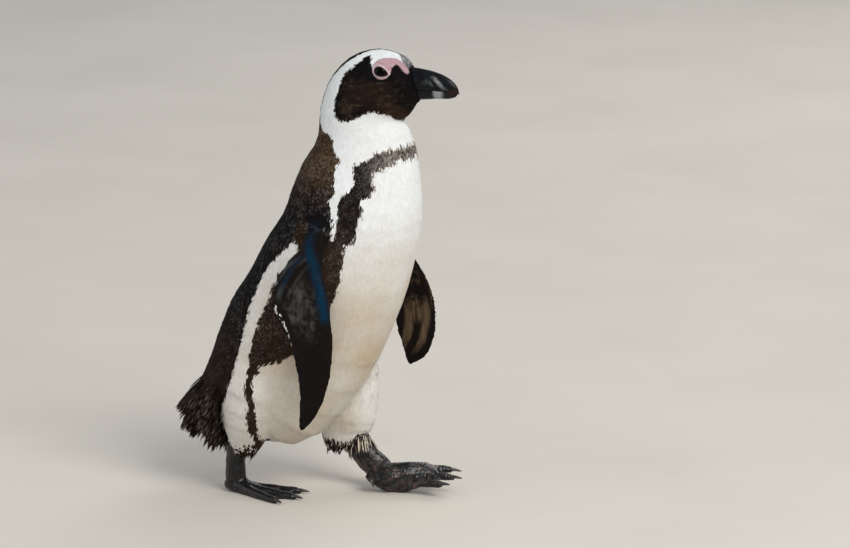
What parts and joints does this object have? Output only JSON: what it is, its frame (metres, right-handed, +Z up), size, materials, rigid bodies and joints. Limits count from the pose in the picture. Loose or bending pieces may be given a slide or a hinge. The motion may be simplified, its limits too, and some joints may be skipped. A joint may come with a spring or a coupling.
{
  "type": "african penguin model",
  "caption": "Life-size still model of an adult african penguin walking, with its weight on the right foot and the left foot landing in front.",
  "frame": {"origin": "the middle of the model's box, on the floor that it stands on", "axes": "+Z up, +X the way the bird faces, +Y its left side"},
  "size_m": [0.3488, 0.2566, 0.5208],
  "materials": {
    "dark_plumage": "short, dense, overlapping feathers, brown-black with a faint blue-grey sheen",
    "white_plumage": "short, dense, overlapping white feathers",
    "bare_skin": "scaly and web skin of the feet, black mottled with pinkish grey",
    "bill_horn": "black horn with a pale grey band near the tip",
    "claw_horn": "dark horn",
    "eye": "wet, dark brown eye"
  },
  "bodies": {
    "root": {"tail": "dark_plumage", "trunk": "white_plumage", "neck": "white_plumage", "head": "dark_plumage", "bill_upper": "bill_horn", "bill_lower": "bill_horn", "eye_right": "eye", "eye_left": "eye", "flipper_right": "dark_plumage", "flipper_left": "dark_plumage", "thigh_right": "white_plumage", "thigh_left": "white_plumage", "tarsus_right": "bare_skin", "tarsus_left": "bare_skin", "foot_right": "bare_skin", "claw_right_outer": "claw_horn", "claw_right_middle": "claw_horn", "claw_right_inner": "claw_horn", "claw_right_hallux": "claw_horn", "foot_left": "bare_skin", "claw_left_outer": "claw_horn", "claw_left_middle": "claw_horn", "claw_left_inner": "claw_horn", "claw_left_hallux": "claw_horn"}
  },
  "joints": []
}
